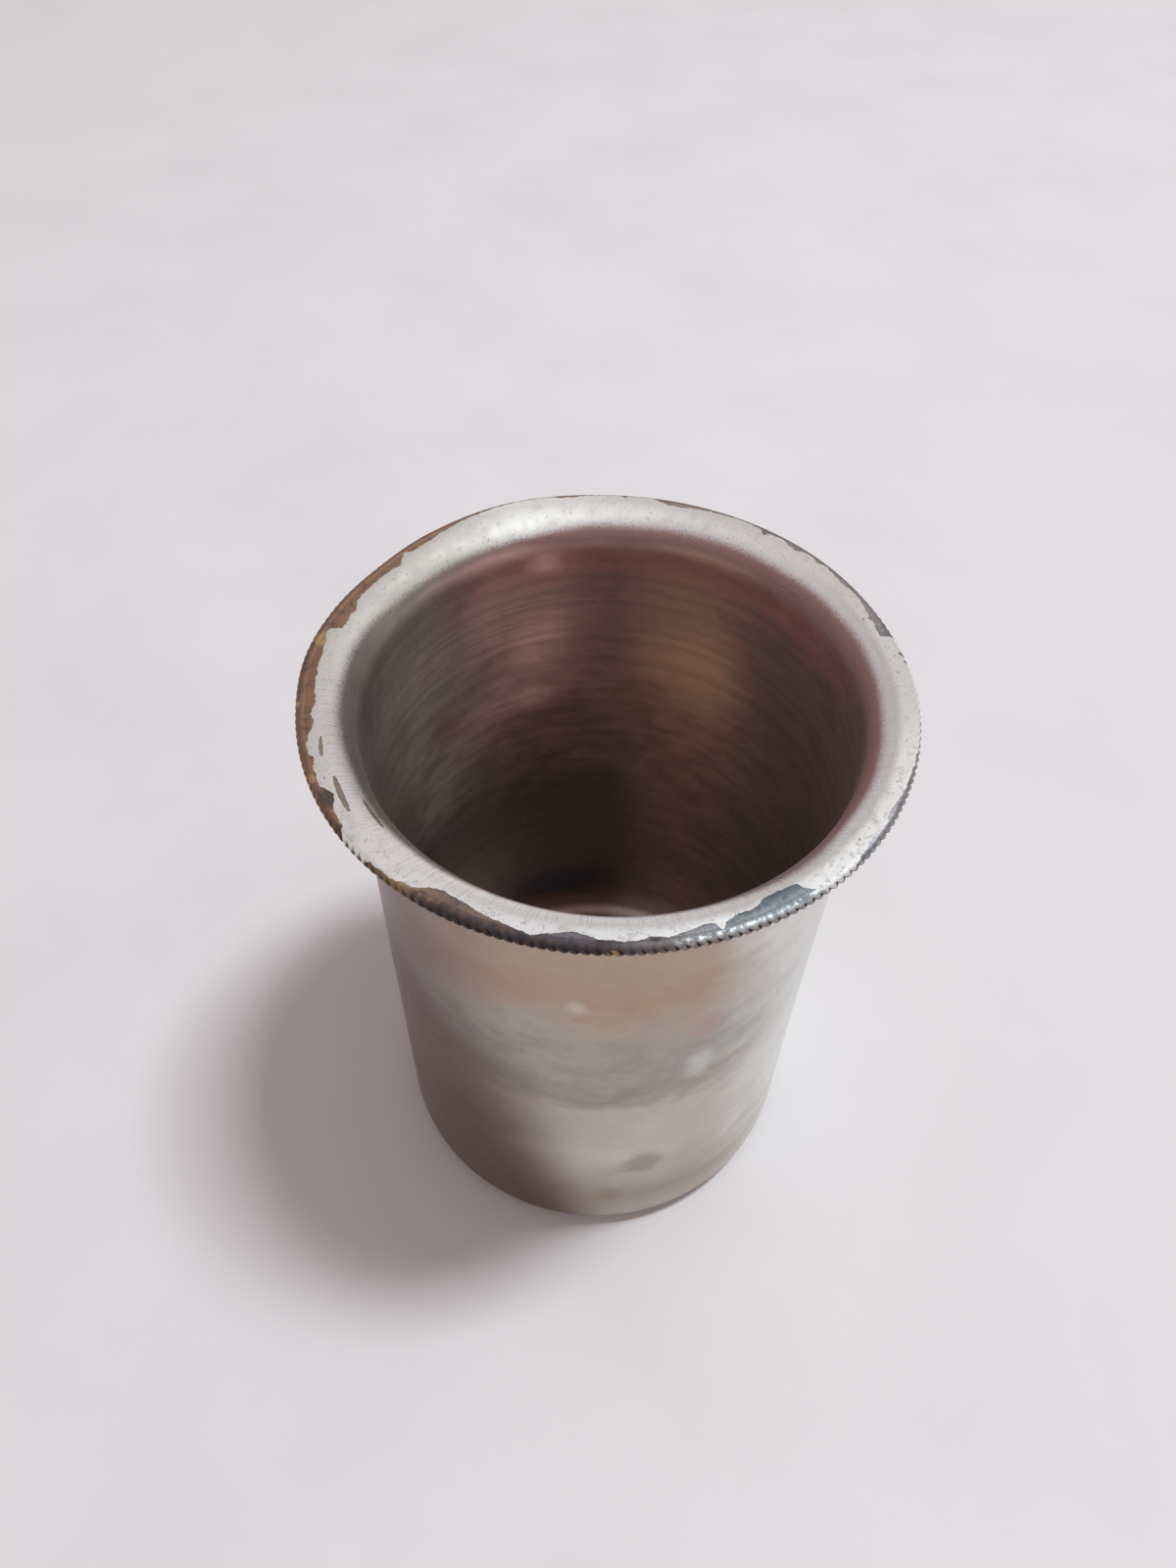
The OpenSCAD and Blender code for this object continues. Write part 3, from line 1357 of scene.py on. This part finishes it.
        # The bend's darker colour starts higher on the left, on the right and in front on the
        # right, and lower at the back on the left: painted shade on the bend.
        shift = at.left * 0.34 + at.right * 0.20 - s.sector(*self.back_left) * 0.50
        shift = shift + at.front * at.right * 0.50
        start = s.z - shift + at.cloud.swing(0.6) + at.grain.swing(0.6)
        bend = s.layers(self.bend, (self.bend_left, at.left), (self.bend_front, at.front))
        inside = s.mix(bend, self.bore_tint(s, at), at.deep)
        color = s.mix(self.lip_tint(s, at), inside, s.rise(start, 64.36, 63.66))
        fine_rings = s.line_noise(s.z * 3.0, 2.0)
        pits = s.rise(s.noise(3.2, 2.0), 0.66, 0.74) * on_lip
        blisters = s.rise(s.noise(1.9, 3.0, 0.6), 0.58, 0.70)
        blisters = blisters * s.rise(s.radius, 23.6, 24.8) * on_lip
        height = (
            at.marks * at.near * 1.4
            + at.grain * 0.35 * on_lip
            - pits * 0.8
            + blisters * 0.9
            + (at.rings * 0.6 + fine_rings * 0.15) * at.deep
        )
        s.bump(height, self.relief_depth)
        rough = 0.70 + at.mottle.swing(0.16) - at.deep * 0.28 + fine_rings.swing(0.1) * at.deep
        # Less metallic over the bore's tarnish, and more so under the painted reflections, which
        # makes them brighter.
        column = s.sector(*self.column_at, at.blotch.swing(30.0)) * s.rise(at.step_z, 39.0, 44.0)
        nonmetal_share = 0.40 + at.pink_reflection_share * 0.40 + at.amber * 0.48 + column * 0.22
        return s.finish(Base_Color=color, Metallic=1.0 - at.deep * nonmetal_share, Roughness=rough)


@dataclass(frozen=True)
class DullPlate:
    """Plate outside: clouded grey, tan under the lip, brown to the left and at the bottom; painted
    reflection pales the right and darkens the left.

    Each mark goes with how far its colour covers the wall.
    """

    beige: Color = (0.54, 0.48, 0.405)
    tan: Color = (0.43, 0.295, 0.205)
    cloud: Color = (0.315, 0.305, 0.285)
    pale_and_reflection: Color = (0.82, 0.845, 0.815)
    purple: Color = (0.185, 0.112, 0.112)
    stain: Color = (0.24, 0.165, 0.10)
    pink: Color = (0.46, 0.335, 0.29)
    clean_marks: tuple[tuple[Mark, float], ...] = (
        ((265.0, 49.6, 3.6, 1.8), 0.3),
        ((295.0, 36.5, 6.0, 4.0), 0.45),
    )
    pink_marks: tuple[tuple[Mark, float], ...] = (((294.6, 43.8, 6.5, 3.2), 0.8),)
    stain_marks: tuple[tuple[Mark, float], ...] = (
        ((283.0, 16.5, 7.0, 4.0), 0.55),
        ((275.0, 9.0, 5.0, 2.5), 0.3),
        ((252.0, 8.0, 16.0, 7.0), 0.5),
    )
    relief_depth: float = 0.03

    def material(self) -> bpy.types.Material:
        """Makes the finish.

        Returns:
            The material.
        """
        s = Shader("dull_plate")
        soft = s.noise((0.16, 0.16, 0.26), 5.0, 0.55)
        broad = s.noise(0.045, 3.0)
        blotch = s.noise((0.35, 0.35, 0.5), 4.0, 0.6)
        upper = s.rise(s.z + soft.swing(14.0), 40.0, 52.0)
        neck = s.rise(s.z + soft.swing(9.0), 50.5, 55.5)
        torn = s.z + soft.swing(13.0)
        band = s.rise(torn, 29.5, 34.5) * s.rise(s.z + soft.swing(24.0), 50.0, 40.0)
        tide = s.rise(torn, 29.5, 32.0) * s.rise(torn, 36.0, 33.0)
        # Painted reflection: the wall turns pale on the right, where it mirrors the lit table.
        right = s.rise(s.x + soft.swing(10.0) + (s.z - 40.0) * 0.1, 9.0, 19.0)
        color = s.layers(
            self.beige,
            (self.pale_and_reflection, s.rise(broad, 0.42, 0.72) * 0.4),
            (self.tan, upper * (0.85 - neck * 0.24)),
            (self.cloud, band * (0.42 + s.rise(blotch, 0.3, 0.7) * 0.4)),
            (self.stain, tide * 0.25),
            (self.pale_and_reflection, right * 0.88),
        )
        for tint, marks in (
            (self.pale_and_reflection, self.clean_marks),
            (self.pink, self.pink_marks),
            (self.stain, self.stain_marks),
        ):
            color = s.layers(color, *((tint, s.spot(*mark, soft) * share) for mark, share in marks))
        # Painted reflection and painted shade: the wall turns dark purple on the left in front,
        # where it mirrors the cup's shadow on the table; less at the very edge, fading towards the
        # back.
        left = s.rise(s.x + broad.swing(14.0) + (s.z - 26.0) * 0.16, -2.0, -15.0)
        left = left * s.rise(s.y + broad.swing(16.0), 19.0, 1.0)
        edge = s.rise(s.x, -20.0, -21.6)
        left = left * (0.88 + s.rise(s.z, 27.0, 15.0) * 0.08 - edge * 0.44)
        # Darker towards the bottom, purple where it meets the left's painted reflection, and less
        # dark low in front and on the right.
        bottom = s.rise(s.z + soft.swing(12.0), 21.0, 2.0)
        less_dark_low_right = s.rise(s.x + soft.swing(8.0), -9.0, 3.0)
        less_dark_low_right = less_dark_low_right * (0.08 + s.rise(s.z, 9.0, 3.0) * 0.52)
        low_dark_tone = s.mix(self.stain, self.purple, left * 0.75)
        color = s.layers(
            color,
            (self.purple, left),
            (low_dark_tone, bottom * (0.96 - right * 0.66) * (1.0 - less_dark_low_right)),
            (self.stain, s.rise(s.noise(0.8, 4.0, 0.65), 0.40, 0.75) * 0.10),
        )
        streak = s.noise((0.10, 0.10, 0.9), 3.0)
        fine = s.noise(2.5, 3.0)
        s.bump(streak * 0.5 + fine * 0.35, self.relief_depth)
        rough = 0.34 + soft.swing(0.2) + band * 0.06
        return s.finish(Base_Color=color, Metallic=1.0, Roughness=rough)


@dataclass(frozen=True)
class BareBrass:
    """Brass where the plate is gone: brown on the left, near black in front, then blue-grey with a
    painted highlight.
    """

    around: Stops = (
        (0.0, (0.31, 0.275, 0.285)),
        (0.10, (0.27, 0.235, 0.235)),
        (0.24, (0.30, 0.225, 0.18)),
        (0.33, (0.34, 0.205, 0.145)),
        (0.48, (0.28, 0.165, 0.12)),
        (0.62, (0.27, 0.155, 0.10)),
        (0.648, (0.42, 0.29, 0.17)),
        (0.664, (0.22, 0.155, 0.13)),
        (0.70, (0.215, 0.145, 0.12)),
        (0.725, (0.165, 0.155, 0.185)),
        (0.75, (0.18, 0.155, 0.17)),
        (0.775, (0.24, 0.21, 0.205)),
        (0.81, (0.185, 0.22, 0.26)),
        (0.85, (0.185, 0.22, 0.255)),
        (0.90, (0.33, 0.325, 0.35)),
        (1.0, (0.31, 0.275, 0.285)),
    )
    gold: Color = (0.51, 0.34, 0.175)
    black: Color = (0.05, 0.05, 0.065)
    umber: Color = (0.115, 0.074, 0.06)
    streak: Color = (0.56, 0.585, 0.61)
    polish_highlight: Color = (0.66, 0.68, 0.695)
    olive: Color = (0.27, 0.24, 0.19)
    scuffed: Color = (0.50, 0.375, 0.225)
    low_dark_tone: Color = (0.20, 0.15, 0.105)
    gilt_marks: tuple[Mark, ...] = (
        (169.5, 25.15, 1.05, 0.75),
        (187.0, 25.80, 0.35, 0.22),
        (205.5, 25.60, 0.60, 0.30),
        (236.0, 25.10, 0.90, 0.35),
        (271.0, 25.95, 0.50, 0.10),
    )
    dark_marks: tuple[Mark, ...] = (
        (211.0, 25.00, 1.40, 0.85),
        (278.0, 25.10, 0.45, 0.30),
    )
    scoured_at: Sector = (297.0, 18.0, 12.0)
    crusted_at: Sector = (255.0, 22.0, 13.0)
    gilt_at: Sector = (190.0, 62.0, 35.0)
    worn_through_at: Sector = (208.0, 22.0, 16.0)
    scratches_per_deg: float = 2.4
    relief_depth: float = 0.03

    def scoured(self, s: Shader) -> Value:
        """1 over the blue-grey stretch in front on the right, which is scratched and rubbed."""
        return s.sector(*self.scoured_at)

    def scratches(self, s: Shader) -> Value:
        """Noise of fine scratches across the lip."""
        return s.line_noise(s.angle * self.scratches_per_deg, 3.0)

    def specks(self, s: Shader) -> Value:
        """Noise of fine specks."""
        return s.noise(2.3, 3.0, 0.6)

    def tint(self, s: Shader) -> Tint:
        """Colour of the bare brass.

        Args:
            s: The shader of the piece that shows it.

        Returns:
            The colour.
        """
        patches = s.noise(0.9, 4.0, 0.6)
        specks = self.specks(s)
        scoured = self.scoured(s)
        outer = s.rise(s.radius + patches.swing(0.8), 24.9, 25.6)
        crust = s.mix(self.black, self.umber, s.rise(specks, 0.34, 0.62))
        scored = s.line_noise(s.radius * 6.0 + patches * 1.5, 3.0)
        # Rubbed metal and painted highlight: a broken pale strip along the lip's outer edge and the
        # wire's shoulder, in front on the right.
        rubbed_and_highlight = s.rise(s.radius + specks.swing(0.9) + scored.swing(0.5), 24.5, 25.5)
        polish_and_highlight = s.rise(s.radius + specks.swing(0.5), 25.45, 25.75) * s.rise(s.z, 64.55, 64.8)
        polish_and_highlight = polish_and_highlight * (0.12 + s.rise(specks, 0.40, 0.58) * 0.88)
        worn_through = s.rise(s.radius, 24.75, 24.45) * s.sector(*self.worn_through_at)
        golden = 0.55 + s.rise(specks, 0.30, 0.62) * 0.35
        return s.layers(
            s.ramp(s.angle / TURN + patches.swing(0.03), self.around),
            (self.black, s.rise(patches, 0.50, 0.72) * 0.55),
            (crust, s.sector(*self.crusted_at) * outer * 0.85),
            (self.black, s.rise(s.radius + patches.swing(0.5), 25.3, 26.0) * 0.4),
            (self.streak, rubbed_and_highlight * scoured * 0.46),
            (self.polish_highlight, polish_and_highlight * scoured * 0.85),
            (self.gold, s.rise(specks, 0.60, 0.72) * (0.06 + s.sector(*self.gilt_at) * 0.5)),
            (self.olive, worn_through * 0.8),
            *((self.black, s.rim_spot(*mark, patches) * 0.7) for mark in self.dark_marks),
            *((self.gold, s.rim_spot(*mark, patches) * golden) for mark in self.gilt_marks),
        )

    def material(self) -> bpy.types.Material:
        """Makes the finish.

        Returns:
            The material.
        """
        s = Shader("bare_brass")
        mottle = s.noise(1.4, 4.0)
        fine = s.noise(7.0, 2.0)
        scoured = self.scoured(s)
        height = mottle * 0.6 + fine * 0.4 + self.scratches(s) * (0.5 + scoured * 1.6)
        s.bump(height, self.relief_depth)
        rough = 0.44 + mottle.swing(0.25) + scoured * s.rise(self.specks(s), 0.62, 0.40) * 0.3
        dirty = s.rise(s.noise(0.45, 5.0, 0.65), 0.42, 0.70) * 0.5
        worn = s.mix(self.scuffed, self.low_dark_tone, dirty)
        color = s.mix(self.tint(s), worn, s.rise(s.z, 6.0, 3.0))
        return s.finish(Base_Color=color, Metallic=1.0, Roughness=rough)


@dataclass(frozen=True)
class MilledFinish:
    """The wire: plate where it is left, bare brass elsewhere, black in the notches as painted
    shade.
    """

    brass: BareBrass = field(default_factory=BareBrass)
    plate: Color = (0.74, 0.725, 0.71)
    notch: Color = (0.055, 0.045, 0.042)
    crests: Stops = (
        (0.0, (0.62, 0.60, 0.585)),
        (0.25, (0.40, 0.32, 0.25)),
        (0.40, (0.36, 0.23, 0.145)),
        (0.55, (0.42, 0.255, 0.13)),
        (0.64, (0.40, 0.25, 0.135)),
        (0.67, (0.18, 0.11, 0.078)),
        (0.74, (0.17, 0.105, 0.08)),
        (0.765, (0.35, 0.235, 0.145)),
        (0.79, (0.33, 0.22, 0.165)),
        (0.83, (0.34, 0.30, 0.29)),
        (0.88, (0.58, 0.56, 0.55)),
        (1.0, (0.62, 0.60, 0.585)),
    )
    crusted_at: Sector = (248.0, 38.0, 31.0)

    def material(self) -> bpy.types.Material:
        """Makes the finish.

        Returns:
            The material.
        """
        s = Shader("milled_brass")
        mottle = s.noise(1.8, 4.0)
        fine = s.noise(7.0, 2.0)
        flecks = s.noise(2.6, 3.0, 0.6)
        notch = s.attribute("notch")
        cover = s.rise(s.attribute("cover") + mottle.swing(0.25), -0.04, 0.04)
        crusted = s.sector(*self.crusted_at)
        # Painted shade: dark deep in the notches, less and unevenly so in front on the left.
        deep = s.rise(notch + mottle.swing(0.3), 0.12, 0.60)
        deep = deep * (1.0 - crusted * s.rise(flecks, 0.40, 0.58) * 0.55)
        worn = s.rise(s.z + crusted * 0.3, 64.92, 64.66) * s.rise(notch, 0.5, 0.1)
        crest = s.ramp(s.angle / TURN + mottle.swing(0.04), self.crests)
        crest = s.mix(crest, self.brass.gold, s.rise(flecks, 0.52, 0.68) * crusted * 0.45)
        color = s.layers(
            self.brass.tint(s),
            (crest, worn * (0.25 + s.rise(mottle, 0.35, 0.6) * 0.6)),
            (self.plate, cover),
            (self.notch, deep * 0.95),
        )
        scoured = self.brass.scoured(s) * (1.0 - cover)
        height = mottle * 0.5 + fine * 0.5 + self.brass.scratches(s) * (0.9 + scoured * 1.6)
        s.bump(height, self.brass.relief_depth)
        rough = 0.46 + mottle.swing(0.2) + deep * 0.2 + cover * 0.2 + crusted * 0.26
        rough = rough + scoured * (s.rise(self.brass.specks(s), 0.62, 0.40) * 0.4 - 0.05)
        return s.finish(Base_Color=color, Metallic=1.0, Roughness=rough)


@dataclass(frozen=True)
class Studio:
    """Plain pale table, soft light from above on the right, and the photo's viewpoint."""

    table: Color = (0.80, 0.79, 0.80)
    table_shade: float = 0.96
    table_rough: float = 0.75
    table_half: float = 3.0
    table_gap: float = 0.02 * MM
    backdrop: Color = (0.62, 0.585, 0.56)
    fill: Color = (0.44, 0.365, 0.365)
    key_elevation: float = 72.6
    key_azimuth: float = 12.0
    key_distance: float = 1.4
    key_width: float = 0.17
    key_length: float = 0.30
    key_power: float = 11.5
    key_color: Color = (0.885, 0.96, 1.0)
    image_height: float = 1600.0
    focal_pixels: float = 1222.4
    sensor: float = 36.0
    view_elevation: float = 50.443
    view_roll: float = -1.43
    eye: tuple[float, float, float] = (-1.55 * MM, -70.39 * MM, 136.99 * MM)

    def build(self) -> None:
        """Sets the stage, the light and the camera."""
        self.lay_table()
        self.hang_key()
        self.set_world()
        self.place_camera()
        bpy.context.scene.view_settings.view_transform = "Standard"

    def lay_table(self) -> None:
        """Lays the table under the tumbler."""
        half, low = self.table_half, -self.table_gap
        corners = [(-half, -half, low), (half, -half, low), (half, half, low), (-half, half, low)]
        table = piece_from("table", corners, [(0, 1, 2, 3)])
        s = Shader("table")
        shaded = tuple(c * self.table_shade for c in self.table)
        color = s.mix(self.table, shaded, s.rise(s.noise(0.03, 3.0), 0.35, 0.7))
        table.data.materials.append(s.finish(Base_Color=color, Roughness=self.table_rough))

    def hang_key(self) -> None:
        """Hangs the soft key light."""
        light = bpy.data.lights.new("key", "AREA")
        light.shape = "RECTANGLE"
        light.size = self.key_width
        light.size_y = self.key_length
        light.energy = self.key_power
        light.color = self.key_color
        up, side = math.radians(self.key_elevation), math.radians(self.key_azimuth)
        flat = math.cos(up)
        toward = Vector((flat * math.cos(side), flat * math.sin(side), math.sin(up)))
        lamp = bpy.data.objects.new("key", light)
        lamp.location = toward * self.key_distance
        lamp.rotation_euler = toward.to_track_quat("Z", "Y").to_euler()
        bpy.context.scene.collection.objects.link(lamp)

    def set_world(self) -> None:
        """Surrounds the stage with fill light and, where seen or mirrored, a pale backdrop."""
        world = bpy.data.worlds.new("surround")
        world.use_nodes = True
        graph = Graph(world.node_tree)
        path = graph.node("ShaderNodeLightPath").outputs
        shown = graph.math("MAXIMUM", path["Is Camera Ray"], path["Is Glossy Ray"])
        shown = graph.math("MAXIMUM", shown, path["Is Transmission Ray"])
        fill, backdrop = (
            graph.node("ShaderNodeBackground", {}, {"Color": color}).outputs[0]
            for color in (self.fill, self.backdrop)
        )
        mix = graph.node("ShaderNodeMixShader", {}, {"Fac": shown, 1: fill, 2: backdrop})
        graph.node("ShaderNodeOutputWorld", {}, {"Surface": mix.outputs[0]})
        bpy.context.scene.world = world

    def place_camera(self) -> None:
        """Puts the camera where the photo was taken from."""
        up, roll = math.radians(self.view_elevation), math.radians(self.view_roll)
        forward = Vector((0.0, math.cos(up), -math.sin(up)))
        level = Vector((1.0, 0.0, 0.0))
        down = forward.cross(level)
        right = math.cos(roll) * level + math.sin(roll) * down
        under = -math.sin(roll) * level + math.cos(roll) * down
        lens = bpy.data.cameras.new("camera")
        lens.sensor_width = self.sensor
        lens.lens = self.focal_pixels / self.image_height * self.sensor
        lens.clip_start = MM
        camera = bpy.data.objects.new("camera", lens)
        turned = Matrix((right, -under, -forward)).transposed().to_4x4()
        camera.matrix_world = Matrix.Translation(self.eye) @ turned
        bpy.context.scene.collection.objects.link(camera)
        bpy.context.scene.camera = camera


def main() -> None:
    """Builds the tumbler's pieces and its stage."""
    logging.basicConfig(level=logging.INFO, format="%(name)s: %(message)s")
    Studio().build()
    cup = CupSizes.from_frame()
    flakes = FlakeMap()
    bright = BrightPlate().material()
    dull = DullPlate().material()
    brass = BareBrass().material()
    milled = MilledFinish().material()
    shells = TurnedShells(cup)
    lip = LipPlate(cup, flakes)
    rim = MilledRim(cup, flakes)
    shells.dress(shells.brass_cup(), Slot.BRASS, brass, "body_shell")
    lip.dress(lip.build(), Slot.BRIGHT_PLATE, bright, "inner_plate")
    shells.dress(shells.bore_plate(), Slot.BRIGHT_PLATE, bright, "inner_plate")
    shells.dress(shells.outer_plate(), Slot.DULL_PLATE, dull, "outer_plate")
    shells.dress(shells.base_plate(), Slot.DULL_PLATE, dull, "base_plate")
    rim.dress(rim.build(milled), Slot.MILLED_BRASS, milled, "rim_wire")


if __name__ == "__main__":
    main()
